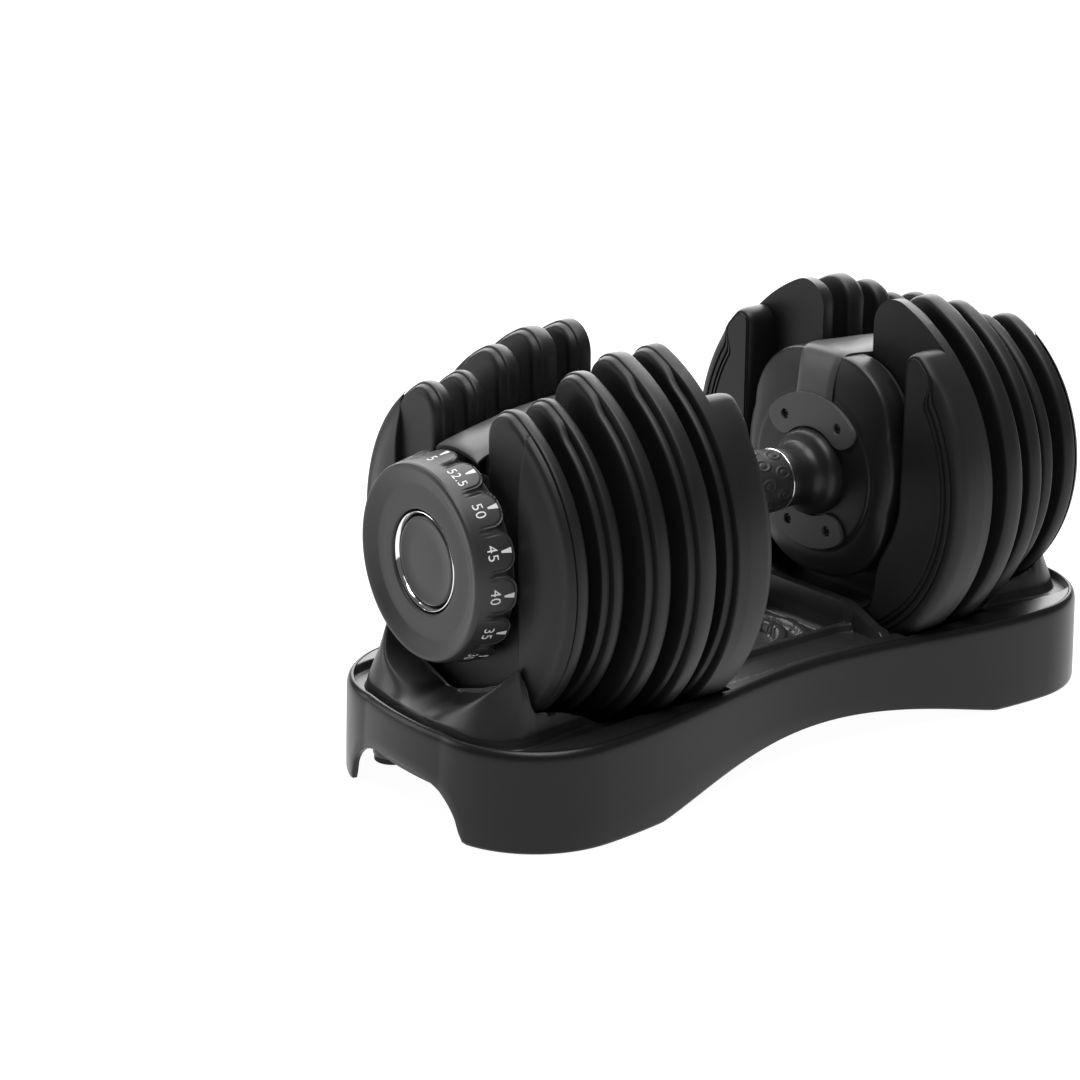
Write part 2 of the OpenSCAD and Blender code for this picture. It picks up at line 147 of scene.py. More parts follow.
def add(name, verts, faces, slot, body, side=None, replaces=(), angle=38):
    """Makes one piece from points in mm. With a side, z counts from the axis and left is turned half round."""
    if side:
        pts = [place(v, side) for v in verts]
    else:
        pts = [(v[0] / 1000, v[1] / 1000, v[2] / 1000) for v in verts]
    me = bpy.data.meshes.new(name)
    me.from_pydata(pts, [], faces)
    bm = bmesh.new()
    bm.from_mesh(me)
    bmesh.ops.remove_doubles(bm, verts=bm.verts, dist=1e-6)
    bmesh.ops.dissolve_degenerate(bm, edges=bm.edges, dist=1e-7)
    bmesh.ops.recalc_face_normals(bm, faces=bm.faces)
    bm.to_mesh(me)
    bm.free()
    for p in me.polygons:
        p.use_smooth = True
    me.set_sharp_from_angle(angle=math.radians(angle))
    me.materials.append(M[slot])
    o = bpy.data.objects.new(name, me)
    scene.collection.objects.link(o)
    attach(o, body)
    if replaces:
        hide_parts(*replaces)
    return o


def bridge_rings(rings, closed_ring=True, closed_path=False, cap_start=False, cap_end=False):
    """Faces between rings of equal length; a ring may be one point."""
    verts, ids = [], []
    for r in rings:
        ids.append(list(range(len(verts), len(verts) + len(r))))
        verts += r
    faces = []
    pairs = list(zip(ids, ids[1:])) + ([(ids[-1], ids[0])] if closed_path else [])
    for a, b in pairs:
        n = max(len(a), len(b))
        for i in range(n if closed_ring else n - 1):
            j = (i + 1) % n
            if len(a) == 1:
                faces.append((a[0], b[i], b[j]))
            elif len(b) == 1:
                faces.append((a[i], a[j], b[0]))
            else:
                faces.append((a[i], a[j], b[j], b[i]))
    if cap_start:
        faces.append(tuple(ids[0]))
    if cap_end:
        faces.append(tuple(reversed(ids[-1])))
    return verts, faces


def lathe(profile, n=128, closed=False):
    """Turns (x, r) points about the axis."""
    rings = []
    for x, r in profile:
        if r < 1e-6:
            rings.append([(x, 0, 0)])
        else:
            rings.append([(x, r * math.sin(2 * PI * i / n), r * math.cos(2 * PI * i / n)) for i in range(n)])
    return bridge_rings(rings, closed_path=closed)


def merge(*parts):
    verts, faces = [], []
    for v, f in parts:
        k = len(verts)
        verts += v
        faces += [tuple(i + k for i in q) for q in f]
    return verts, faces


def smooth(a, b, x):
    t = np.clip((x - a) / (b - a), 0, 1)
    return t * t * (3 - 2 * t)


def fillet(points, r, n=4):
    """Rounds the inner corners of an open run of 2-D points."""
    out = [points[0]]
    for p, q, s in zip(points, points[1:], points[2:]):
        a = np.array(p) - q
        b = np.array(s) - q
        la, lb = np.linalg.norm(a), np.linalg.norm(b)
        t = min(r, la * 0.45, lb * 0.45)
        p0, p2 = q + a / la * t, q + b / lb * t
        for i in range(n + 1):
            u = i / n
            out.append(tuple((1 - u) ** 2 * p0 + 2 * u * (1 - u) * np.array(q) + u * u * p2))
    out.append(points[-1])
    return out


# ---------------------------------------------------------------- plates
PLATES = {5: (62.5, 91.0, 103.0), 4: (99.5, 114.0, 102.5), 3: (122.5, 135.0, 97.0),
          2: (143.5, 154.0, 88.0), 1: (162.5, 174.0, 86.0)}


FUNNEL = [(57, -14), (54.5, -22), (50.5, -30), (46, -38), (43.5, -46), (42.5, -58), (38.5, -66), (30, -69)]


def outline(R, d, w=19.0, hr=15.0, wide=False, groove=0.0):
    """C-shaped plate outline, inset by d. The groove term only acts along the rim, clear of the horns."""
    cx = w + hr
    cz = math.sqrt((R - hr) ** 2 - cx * cx)
    phi = math.atan2(cz, cx)
    pts = []
    z0 = -8.0 if wide else 0.0
    for i in range(8):
        pts.append((w + d, z0 + (cz - z0) * i / 8))
    for i in range(14):
        a = PI + (phi - PI) * i / 14
        pts.append((cx + (hr - d) * math.cos(a), cz + (hr - d) * math.sin(a)))
    n = 150
    for i in range(n + 1):
        a = phi + (-PI - 2 * phi) * i / n
        reach = min(i, n - i) / n * (PI + 2 * phi)
        g = groove * float(smooth(0.10, 0.22, reach))
        pts.append(((R - d - g) * math.cos(a), (R - d - g) * math.sin(a)))
    for i in range(1, 15):
        a = PI - phi - (PI - phi) * i / 14
        pts.append((-cx + (hr - d) * math.cos(a), cz + (hr - d) * math.sin(a)))
    for i in range(1, 9):
        pts.append((-w - d, cz + (z0 - cz) * i / 8))
    if wide:
        run = fillet([(58, -8)] + FUNNEL + [(-y, z) for y, z in FUNNEL[::-1]] + [(-58, -8)], 5, 2)
        pts += [(y * (1 + d / 58), z * (1 + d / 58)) for y, z in run[:0:-1]]
    else:
        for i in range(32):
            a = PI + PI * (i + 1) / 33
            pts.append(((w + d) * math.cos(a), (w + d) * math.sin(a)))
    return pts


def plate_rings(R, stations, **kw):
    return [[(x, y, z) for y, z in outline(R, d, groove=g, **kw)] for x, d, g in stations]


def shell_stations(a, b):
    """(x, inset, groove) from the inner face to the outer face. The lip on the dial side sits lower."""
    return [(a, 6.5, 0), (a, 3.0, 0), (a + 0.2, 2.1, 0), (a + 0.7, 1.25, 0), (a + 1.4, 0.7, 0), (a + 2.4, 0.3, 0),
            ((a + b) / 2 - 0.8, 0.05, 0), (b - 5.4, 0.12, 0), (b - 4.7, 0.3, 0.1), (b - 4.3, 0.6, 0.3),
            (b - 4.05, 1.0, 0.8), (b - 3.9, 1.3, 3.4), (b - 3.1, 1.6, 3.7), (b - 2.85, 1.7, 2.3),
            (b - 2.0, 2.0, 2.0), (b - 1.0, 2.6, 1.8), (b - 0.35, 3.4, 1.3), (b, 4.6, 0.6), (b, 6.5, 0)]


def crescent(sign):
    """Crowned outer face of plate 1 beside the flat strip."""
    prof = [(0, 178.0), (60, 178.0), (64, 177.9), (68, 177.5), (72, 176.7), (75.5, 175.6), (78.5, 174.6),
            (80.5, 174.2), (82, 174.15), (83.2, 173.9), (84.4, 173.0), (85.3, 171.4), (86, 169)]
    zc = math.sqrt(85.5 ** 2 - 50 ** 2)
    nv, nu = 90, 34
    rows = []
    for j in range(nv + 1):
        z = zc * math.sin(PI / 2 * (2 * j / nv - 1))
        ym = math.sqrt(85.5 ** 2 - z * z)
        row = [(172.0, sign * 50.0, z)]
        r0 = math.hypot(50.0, z)
        x0 = float(np.interp(r0, [p[0] for p in prof], [p[1] for p in prof]))
        row.append((max(x0 - 1.1, 172), sign * 50.0, z))
        row.append((max(x0 - 0.3, 172), sign * min(50.3, ym), z))
        for i in range(nu + 1):
            y = 50.9 + (ym - 50.9) * (i / nu) if ym > 50.9 else ym
            r = math.hypot(y, z)
            x = float(np.interp(r, [p[0] for p in prof], [p[1] for p in prof]))
            row.append((x, sign * y, z))
        rows.append(row)
    return bridge_rings(rows, closed_ring=False)


for side in SIDES:
    for k, (a, b, R) in PLATES.items():
        body = f"plate_{k}_{side}"
        st = shell_stations(a, b)
        if k == 5:
            cut = 80.0
            wide = [(a, 3.4, 12.5), (a, 3.3, 11.9), (a + 0.9, 3.2, 11.5), (a + 0.9, 3.1, 10.9),
                    (a, 3.0, 10.5), (a + 0.2, 2.9, 9.7), (a + 1.6, 2.8, 9.3), (a + 1.6, 2.7, 8.5),
                    (a + 0.5, 2.6, 8.1), (a + 0.5, 2.3, 6.6), (a + 1.8, 2.1, 6.2),
                    (a + 1.8, 2.0, 5.5), (a + 0.8, 1.9, 5.1), (a + 1.0, 1.6, 3.6),
                    (a + 1.8, 1.1, 2.0), (a + 2.9, 0.7, 0.9), (a + 4.4, 0.35, 0.35), (a + 7, 0.1, 0), (cut, 0.05, 0)]
            part_a = bridge_rings(plate_rings(R, wide, w=58, hr=8, wide=True), cap_start=True)
            rim = [(cut, 7, 0), (cut, 0.05, 0)] + st[8:]
            part_b = bridge_rings(plate_rings(R, rim), cap_start=True, cap_end=True)
            v, f = merge(part_a, part_b)
        else:
            v, f = bridge_rings(plate_rings(R, st), cap_start=True, cap_end=True)
        if k == 1:
            v, f = merge((v, f), crescent(1), crescent(-1))
        add(f"plate_{k}_{side}_overmould", v, f, "plate_cover", body, side, [f"plate_{k}_cover_{side}"], angle=42)
        core = [(a + 2.4, 12, 0), (a + 2.4, 9.5, 0), (a + 3.0, 9, 0),
                (b - 2.2, 9, 0), (b - 1.6, 9.5, 0), (b - 1.6, 12, 0)]
        if k == 5:
            core = [(82, 12, 0), (82, 9.5, 0)] + core[3:]
        cv = bridge_rings(plate_rings(R, core), cap_start=True, cap_end=True)
        tab = fillet([(b - 3, -30), (b + 2.2, -30), (b + 2.2, -27), (b - 3, -27)], 0.6)
        tv = bridge_rings([[(x, y, z) for x, z in tab] for y in (-3.5, 3.5)], cap_start=True, cap_end=True)
        add(f"plate_{k}_{side}_steel", *merge(cv, tv), "plate_core", body, side, [f"plate_{k}_core_{side}"])

# ---------------------------------------------------------------- dial
BODY_DIAL = "dial_assembly_%s"
LABELS = ["5", "52.5", "50", "45", "40", "35", "30", "25", "22.5", "20", "17.5", "15", "12.5", "10", "7.5"]
PITCH = 2 * PI / 15


def dial_cone(x):
    return 52.3 - (x - 179.0) * 3.4 / 18.5


def dial_height(x, t):
    """Radius of the dial's band: fifteen raised tablets on a recessed cone, with engraved outlines."""
    u = (t / PITCH - round(t / PITCH)) * PITCH * 50.5
    cx, hx, hu = 190.0, 11.0, 9.7
    rad = 7.2 if x < cx else 2.0
    qx, qu = abs(x - cx) - (hx - rad), abs(u) - (hu - rad)
    sd = math.hypot(max(qx, 0), max(qu, 0)) + min(max(qx, qu), 0) - rad
    deep = 1.5 * float(smooth(195.0, 186.0, x)) + 2.2 * float(smooth(184.5, 178.6, x))
    line = 0.6 * math.exp(-((sd + 1.2) / 0.36) ** 2) * float(smooth(194.5, 189.0, x))
    return dial_cone(x) - deep * float(smooth(-0.6, 0.7, sd)) - line


def dial_band():
    xs = [178.6, 178.8, 179.1] + [179.4 + 0.42 * i for i in range(36)]
    xs += [195.2, 196, 196.6, 197.1, 197.5, 197.9, 198.2]
    n = 15 * 48
    rings = []
    rings.append([(178.6, 40 * math.sin(2 * PI * i / n), 40 * math.cos(2 * PI * i / n)) for i in range(n)])
    for x in xs:
        ring = []
        for i in range(n):
            t = 2 * PI * i / n
            r = min(dial_height(x, t), 51.4 + (x - 178.6) * 2.2)
            ring.append((x, r * math.sin(t), r * math.cos(t)))
        rings.append(ring)
    for x, r in ((198.45, 48.55), (199.0, 48.35), (199.5, 48.0), (199.85, 47.5), (200.0, 46.8), (199.9, 45.9),
                 (199.0, 43.6), (197.8, 40.6), (197.0, 38.7), (196.8, 38.1), (196.75, 37.2), (196.8, 32),
                 (196.9, 27.2), (196.8, 26.3), (196.4, 25.8), (195.8, 25.6), (187.0, 25.6), (187.0, 10)):
        rings.append([(x, r * math.sin(2 * PI * i / n), r * math.cos(2 * PI * i / n)) for i in range(n)])
    return bridge_rings(rings)


def lettering(side):
    """Numbers and pointer wedges, wrapped round the band."""
    parts = []
    for i, label in enumerate(LABELS):
        cu = bpy.data.curves.new("t", "FONT")
        cu.body = label
        cu.size = 7.4 if len(label) < 3 else 6.6
        cu.align_x = "CENTER"
        cu.align_y = "CENTER"
        cu.space_character = 1.12
        cu.resolution_u = 6
        tmp = bpy.data.objects.new("t", cu)
        scene.collection.objects.link(tmp)
        bpy.context.view_layer.update()
        me = bpy.data.meshes.new_from_object(tmp.evaluated_get(bpy.context.evaluated_depsgraph_get()))
        th = PITCH * i
        vs = []
        for v in me.vertices:
            x = 190.6 - v.co.y
            r = dial_cone(x) + 0.1
            t = th + v.co.x / r
            vs.append((x, r * math.sin(t), r * math.cos(t)))
        parts.append((vs, [tuple(p.vertices) for p in me.polygons]))
        bpy.data.objects.remove(tmp)
        bpy.data.meshes.remove(me)
        bpy.data.curves.remove(cu)
        vs = []
        for x, h in ((186.0, 0.45), (180.9, 1.35)):
            r = dial_cone(x) + 0.1
            for s in (-1, 1):
                t = th + s * h / r
                vs.append((x, r * math.sin(t), r * math.cos(t)))
        parts.append((vs, [(0, 1, 3, 2)]))
    return merge(*parts)


for side in SIDES:
    body = BODY_DIAL % side
    add(f"dial_{side}_body", *dial_band(), "dial", body, side, [f"dial_{side}"], angle=50)
    add(f"dial_{side}_numbers", *lettering(side), "print", body, side)
    ring = [(191.0, 24.7), (195.6, 24.7), (196.1, 24.5), (196.2, 24.2), (195.9, 23.9), (194.2, 22.8), (191, 22.5)]
    add(f"dial_{side}_trim_ring", *lathe(ring, closed=True), "chrome", body, side, [f"dial_ring_{side}"], angle=50)
    cap = [(193.0, 0), (193.0, 22.0), (194.2, 22.0), (194.9, 21.7), (195.2, 21.0), (195.1, 20.0), (194.85, 19.4),
           (195.0, 12), (195.15, 5), (195.2, 0)]
    add(f"dial_{side}_cap_disc", *lathe(cap), "dial_cap", body, side, [f"dial_cap_{side}"], angle=50)

# ---------------------------------------------------------------- inner housing, collar, bridge
BODY_HANDLE = "handle"


def arc_pts(cx, cz, r, a0, a1, n):
    return [(cx + r * math.cos(math.radians(a0 + (a1 - a0) * i / n)),
             cz + r * math.sin(math.radians(a0 + (a1 - a0) * i / n))) for i in range(n + 1)]


def housing_outline(g, n=144):
    """Rounded outline of the housing grown by g, sampled at even angles."""
    raw = (arc_pts(13, 26, 38 + g, 0, 90, 24) + arc_pts(-13, 26, 38 + g, 90, 180, 24)
           + arc_pts(-6, -13, 45 + g, 180, 270, 24) + arc_pts(6, -13, 45 + g, 270, 360, 24))
    ang = np.unwrap([math.atan2(p[1], p[0]) for p in raw])
    rad = [math.hypot(*p) for p in raw]
    base = ang[0]
    ang = np.concatenate([ang, [ang[0] + 2 * PI]])
    rad = rad + [rad[0]]
    out = []
    for i in range(n):
        t = base + 2 * PI * i / n
        r = float(np.interp(t, ang, rad))
        out.append((r * math.cos(t), r * math.sin(t)))
    return out


def housing_mesh():
    full = housing_outline(0)
    n = len(full)
    rings = []

    def ring(x, circle=None, mix=0.0, g=0.0):
        o = []
        for y, z in full:
            L = math.hypot(y, z)
            r = L + g
            if circle is not None:
                r = circle + (L + g - circle) * mix
            o.append((x, y / L * r, z / L * r))
        return o

    rings.append(ring(58.5, circle=12.5))
    rings.append(ring(56.9, circle=12.5))
    rings.append(ring(56.9, circle=41.2))
    rings.append(ring(57.0, circle=42.4))
    rings.append(ring(57.5, circle=43.0))
    rings.append(ring(57.9, circle=43.4))
    for mix in (0.15, 0.3, 0.45, 0.6, 0.74, 0.86, 0.94):
        rings.append(ring(57.9 + 3.8 * mix ** 2.2, circle=43.4, mix=mix, g=-0.4))
    for x, g in ((61.7, -0.25), (62.4, 0.35), (63.4, 0.7), (65, 0.9), (70, 0.9), (75.9, 0.7), (76.4, 0.1)):
        rings.append(ring(x, g=g))
    rings.append(ring(76.5, g=-4))
    rings.append(ring(64.5, g=-4))
    return bridge_rings(rings)


def sector(name, slot, side, x0, x1, ri, ro, a0, a1, holes, node, extra=None, corner=6.5, n=40):
    """Flat ring sector with lobed ends and countersunk screw holes, angles from +Z towards +Y in degrees."""
    pts = []
    mid = (ri + ro) / 2
    half = (ro - ri) / 2
    for a, b, r in ((a0, a1, ro), (a1, a0, ri)):
        e = math.degrees(corner / r) * (1 if b > a else -1)
        for i in range(n + 1):
            t = math.radians(a + e + (b - a - 2 * e) * i / n)
            pts.append((r * math.sin(t), r * math.cos(t)))
        for i in range(1, 9):
            q = PI / 2 - PI * i / 9 if b > a else -PI / 2 + PI * i / 9
            rr = mid + half * math.sin(q)
            ext = corner * math.cos(q) * (1 if b > a else -1)
            t = math.radians(b) - (corner / rr) * (1 if b > a else -1) + ext / rr
            pts.append((rr * math.sin(t), rr * math.cos(t)))
    faces_at = [[(x, y, z) for y, z in pts] for x in (x1, x0)]
    v, f = bridge_rings(faces_at, cap_start=True, cap_end=True)
    o = add(name, v, f, slot, BODY_HANDLE, side, [node], angle=46)
    for k, a in enumerate(holes):
        y, z = 34 * math.sin(math.radians(a)), 34 * math.cos(math.radians(a))
        cut_v, cut_f = lathe([(x0 - 1, 0), (x0 - 1, 3.5), (x0 + 0.3, 2.75), (x0 + 3, 2.75), (x0 + 3, 0)], n=40)
        me = bpy.data.meshes.new("cutter")
        me.from_pydata([place((cx, cy + y, cz + z), side) for cx, cy, cz in cut_v], [], cut_f)
        bm = bmesh.new()
        bm.from_mesh(me)
        bmesh.ops.recalc_face_normals(bm, faces=bm.faces)
        bm.to_mesh(me)
        bm.free()
        c = bpy.data.objects.new("cutter", me)
        scene.collection.objects.link(c)
        md = o.modifiers.new(f"hole{k}", "BOOLEAN")
        md.object = c
        md.operation = "DIFFERENCE"
        md.solver = "EXACT"
        bpy.context.view_layer.update()
        done = bpy.data.meshes.new_from_object(o.evaluated_get(bpy.context.evaluated_depsgraph_get()))
        o.modifiers.remove(md)
        o.data = done
        bpy.data.objects.remove(c)
    if extra:
        m = o.data
        k = len(m.vertices)
        vs = [tuple(q.co) for q in m.vertices] + [place(q, side) for q in extra[0]]
        fs = [tuple(q.vertices) for q in m.polygons] + [tuple(i + k for i in q) for q in extra[1]]
        new = bpy.data.meshes.new(name)
        new.from_pydata(vs, [], fs)
        new.materials.append(M[slot])
        o.data = new
    bm = bmesh.new()
    bm.from_mesh(o.data)
    bmesh.ops.recalc_face_normals(bm, faces=bm.faces)
    bm.to_mesh(o.data)
    bm.free()
    for q in o.data.polygons:
        q.use_smooth = True
    o.data.set_sharp_from_angle(angle=math.radians(40))
    b = o.modifiers.new("bevel", "BEVEL")
    b.width = 0.0004
    b.segments = 2
    b.limit_method = "ANGLE"
    b.angle_limit = math.radians(40)
    b.harden_normals = True
    return o


def strap_mesh():
    """Crowned strap from the dial over the discs, bending down over the housing."""
    # x, z of the crown, half-width, crown height, turn of the surface normal in degrees, thickness
    path = [(177.6, 53.6, 17.0, 3.6, 14, 2.2), (176.6, 54.6, 16.9, 3.6, 14, 2.2), (173, 56.0, 16.3, 3.6, 14, 2.2),
            (166, 57.9, 16, 3.6, 13, 2.2), (155, 60.5, 16, 3.6, 12, 2.2), (142, 63.2, 16, 3.5, 10, 2.2),
            (130, 65.2, 16, 3.4, 7, 2.2), (115, 66.8, 16, 3.2, 4, 2.2), (100, 67.7, 16, 3.0, 2, 2.2),
            (88, 67.9, 16, 2.6, 0, 2.2),
            (78, 68.0, 16, 1.9, 0, 3.4), (71, 67.9, 15.9, 1.2, -3, 3.4), (67, 67.6, 15.7, 0.8, -10, 3.2),
            (63.9, 66.7, 15.4, 0.5, -26, 3.0), (61.6, 65.1, 15.1, 0.4, -44, 2.8), (59.9, 62.7, 14.7, 0.3, -58, 2.6),
            (58.6, 59.4, 14.3, 0.3, -69, 2.4), (57.6, 55.6, 13.9, 0.2, -76, 2.2), (56.8, 51.6, 13.5, 0.2, -80, 2.0),
            (56.2, 47.4, 13.3, 0.1, -83, 1.8), (55.8, 43.0, 13.4, 0.1, -87, 1.6), (55.6, 39.0, 13.6, 0.0, -90, 1.2)]
    rings = []
    n = 12
    for x, z, w, crown, turn, thick in path:
        a = math.radians(turn)
        nx, nz = math.sin(a), math.cos(a)
        top, bot = [], []
        for i in range(n + 1):
            s = 2 * i / n - 1
            y = w * s
            drop = crown * s * s + 0.9 * max(0.0, abs(s) - 0.86) ** 2 / 0.0196
            top.append((x - nx * drop, y, z - nz * drop))
            bot.append((x - nx * (crown * s * s + thick), y * 0.985, z - nz * (crown * s * s + thick)))
        rings.append(top + bot[::-1])
    return bridge_rings(rings, cap_start=True, cap_end=True)


def screw_mesh(angle, x0=56.3):
    """Flat head with a hex socket."""
    n = 36
    cy, cz = 34 * math.sin(math.radians(angle)), 34 * math.cos(math.radians(angle))

    def ring(x, r, hexed=False):
        o = []
        for i in range(n):
            t = 2 * PI * i / n
            q = r
            if hexed:
                m = (t + PI / 6) % (PI / 3) - PI / 6
                q = r * math.cos(PI / 6) / math.cos(m)
            o.append((x, cy + q * math.sin(t), cz + q * math.cos(t)))
        return o

    rings = [[(x0 + 1.4, cy, cz)], ring(x0 + 1.4, 1.4, True), ring(x0 + 0.15, 1.5, True), ring(x0, 1.6, True),
             ring(x0, 2.2), ring(x0 + 0.15, 2.5), ring(x0 + 0.4, 2.65), ring(x0 + 1.1, 2.65), ring(x0 + 1.1, 2.0),
             ring(x0 + 15, 2.0), [(x0 + 15, cy, cz)]]
    return bridge_rings(rings)


for side in SIDES:
    add(f"housing_{side}_shell", *housing_mesh(), "housing", BODY_HANDLE, side, [f"housing_{side}"], angle=48)
    sector(f"bridge_{side}_strap", "bridge", side, 54.8, 56.9, 24.5, 43, -56, 56, (36, -36),
           f"bridge_{side}", extra=strap_mesh())
    sector(f"clamp_{side}_lower", "clamp_plate", side, 54.8, 56.9, 24.5, 43, 136, 224, (154, -154),
           f"clamp_plate_{side}")
    col = [(30.2, 12.1), (30.2, 16.1), (30.6, 16.3), (36, 16.1), (42, 16.2), (45.5, 16.9),
           (47.6, 18.6), (49, 20.9), (50.4, 22.4), (52.2, 23.2), (54.5, 23.6), (56.8, 23.8), (56.8, 12.1)]
    add(f"collar_{side}_flare", *lathe(col, closed=True), "collar", BODY_HANDLE, side, [f"collar_{side}"], angle=50)
ringv = []
for s in (-1, 1):
    p = [(28.62, 12.1), (28.62, 16.3), (28.9, 16.75), (29.8, 16.8), (30.1, 16.4), (30.1, 12.1)]
    v, f = lathe(fillet(p, 0.2), closed=True)
    ringv.append(([(s * x, y, z + H) for x, y, z in v], f))
add("grip_chrome_rings", *merge(*ringv), "chrome", BODY_HANDLE, None, ["grip_rings"], angle=50)
sc = []
for side in SIDES:
    for a in (36, -36, 154, -154):
        v, f = screw_mesh(a)
        s = -1 if side == "left" else 1
        sc.append(([(s * x, s * y, z + H) for x, y, z in v], f))
add("clamp_socket_screws", *merge(*sc), "black_screw", BODY_HANDLE, None, ["clamp_screws"], angle=40)


# ---------------------------------------------------------------- grip
def grip_mesh():
    nx, na = 150, 300
    rings = []

    def relief(x, t):
        """Raised ovals in offset rows, joined by short arcs."""
        best = 0.0
        rows = 9
        for row in range(-2, 3):
            cx = row * 11.4
            off = 0.5 if row % 2 else 0.0
            u = (t / (2 * PI) * rows + off) % 1.0 - 0.5
            dy = u / rows * 2 * PI * 16.8
            dx = x - cx
            q = math.hypot(dx / 4.3, dy / 3.1)
            best = max(best, math.exp(-((q - 1) / 0.16) ** 2))
            q2 = math.hypot(dx / 2.0, dy / 1.3)
            best = max(best, 0.8 * float(smooth(1.15, 0.8, q2)))
        return 0.45 * best

    for i in range(nx + 1):
        x = -28.5 + 57.0 * i / nx
        edge = 0.8 * float(smooth(26.8, 28.5, abs(x))) ** 2
        base = 16.35 + 0.75 * (1 - (x / 28.5) ** 2) - edge
        ring = []
        for j in range(na):
            t = 2 * PI * j / na
            r = base + relief(x, t) * float(smooth(28.0, 25.5, abs(x)))
            ring.append((x, r * math.sin(t), r * math.cos(t) + H))
        rings.append(ring)
    inner = [[(x, 12.1 * math.sin(2 * PI * j / na), 12.1 * math.cos(2 * PI * j / na) + H) for j in range(na)]
             for x in (28.5, -28.5)]
    return bridge_rings(rings + inner, closed_path=True)


add("grip_rubber_sleeve", *grip_mesh(), "grip_rubber", BODY_HANDLE, None, ["grip"], angle=60)

# ---------------------------------------------------------------- tray
HALF_L, HALF_W, WAIST, WAIST_END, CORNER = 214.5, 90.0, 71.0, 154.0, 58.0


def waist_w(x):
    x = min(abs(x), WAIST_END)
    return WAIST + (HALF_W - WAIST) * (1 - math.cos(PI * x / WAIST_END)) / 2


def quarter():
    """Outline of one quarter with outward normals: (x, y, nx, ny)."""
    q = []
    n = 70
    for i in range(n):
        x = WAIST_END * i / n
        s = (waist_w(x + 0.1) - waist_w(max(x - 0.1, 0))) / (0.1 + min(x, 0.1))
        L = math.hypot(s, 1)
        q.append((x, waist_w(x), -s / L, 1 / L))
    cy = HALF_W - CORNER
    for i in range(41):
        a = math.radians(90 - 90 * i / 40)
        q.append((WAIST_END + CORNER * math.cos(a), cy + CORNER * math.sin(a), math.cos(a), math.sin(a)))
    for i in range(1, 33):
        y = cy * (1 - i / 32)
        x = HALF_L - 2.5 * (y / cy) ** 2
        sl = 2.5 * 2 * y / cy ** 2
        L = math.hypot(1, sl)
        q.append((x, y, 1 / L, sl / L))
    return q


def full_outline():
    q = quarter()
    out = list(q)
    out += [(x, -y, nx, -ny) for x, y, nx, ny in reversed(q[:-1])]
    out += [(-x, -y, -nx, -ny) for x, y, nx, ny in q[1:]]
    out += [(-x, y, -nx, ny) for x, y, nx, ny in reversed(q[1:-1])]
    return out


def underside(x, y):
    """Height of the shell's lower edge, with its finger arches."""
    z = 1.0
    if abs(x) < 118:
        z = max(z, 1 + 16.0 * (1 - (x / 118) ** 2) ** 1.15)
    if abs(x) > 195 and abs(y) < 52:
        t = abs(y) / 46
        arch = 27.5 * math.sqrt(max(0.0, 1 - min(t, 1) ** 3)) if t < 1 else 0.0
        flare = 6.0 * math.exp(-((abs(y) - 43) / 3.2) ** 2) if abs(y) > 43 else 6.0
        z = max(z, 1 + max(arch, flare if abs(y) > 44 else 0))
    return z


def shell_mesh():
    pts = full_outline()
    rings = []
    # share of the height above the lower edge, or a height, with its inset
    levels = [("s", 0.0, 1.0), ("s", 0.012, 0.3), ("s", 0.04, 0.0), ("s", 0.3, 0.3), ("s", 0.6, 0.8),
              ("z", 43.5, 1.2), ("z", 46.5, 1.35), ("z", 48.3, 1.6), ("z", 49.8, 2.1), ("z", 50.9, 2.8),
              ("z", 51.6, 3.6), ("z", 51.95, 4.3), ("z", 51.95, 4.8), ("z", 51.6, 5.15), ("z", 50.8, 5.3),
              ("z", 46.5, 5.3), ("z", 45.5, 5.1), ("z", 45.5, 4.5), ("z", 44.5, 4.3), ("s", 0.3, 3.6), ("s", 0.0, 3.0)]
    for kind, v, d in levels:
        ring = []
        for x, y, nx, ny in pts:
            zb = underside(x, y)
            z = zb + (44.5 - zb) * v / 0.9 if kind == "s" else v
            ring.append((x - nx * d, y - ny * d, z))
        rings.append(ring)
    return bridge_rings(rings, closed_path=True)


def smin(a, b, k):
    h = np.clip(0.5 + 0.5 * (b - a) / k, 0, 1)
    return b * (1 - h) + a * h - k * h * (1 - h)


EDGE_X = [0, 45, 70, 100, 130, 145, 161, 175, 183, 206]
EDGE_W = [37, 37, 45, 52, 56.2, 57, 58.6, 60.8, 61.5, 61.5]


def island_inside(ax, ay):
    """Distance inside the island's edge."""
    w = np.interp(ax, EDGE_X, EDGE_W)
    return smin(w - ay, 204.0 - 2.8 * (ay / 40) ** 2 - ax, 24)


def rim_inside(ax, ay):
    """Distance inside the flat of the rim."""
    w = np.interp(ax, [0, 60, 100, 130, 154, 180], [61.4, 63, 66.5, 69.5, 71.2, 71.2])
    return smin(w - ay, 213.6 - 4 * (ay / 36.4) ** 2 - ax, 20)


def bed_radius(ax):
    """Smooth pocket round the plates, closing over the crown of plate 1."""
    at = [0, 61.8, 114.5, 124, 135.5, 145, 155, 163, 173, 174.3,
          175, 175.6, 176.4, 177.5, 178.3, 178.9, 179.4, 179.8, 180]
    radius = [103.8, 103.8, 103.2, 100.4, 97.8, 92.5, 89.2, 87.4, 86.8, 85.2,
              83.5, 80, 76.5, 73, 69, 64, 58, 40, 1]
    return np.interp(ax, at, radius)


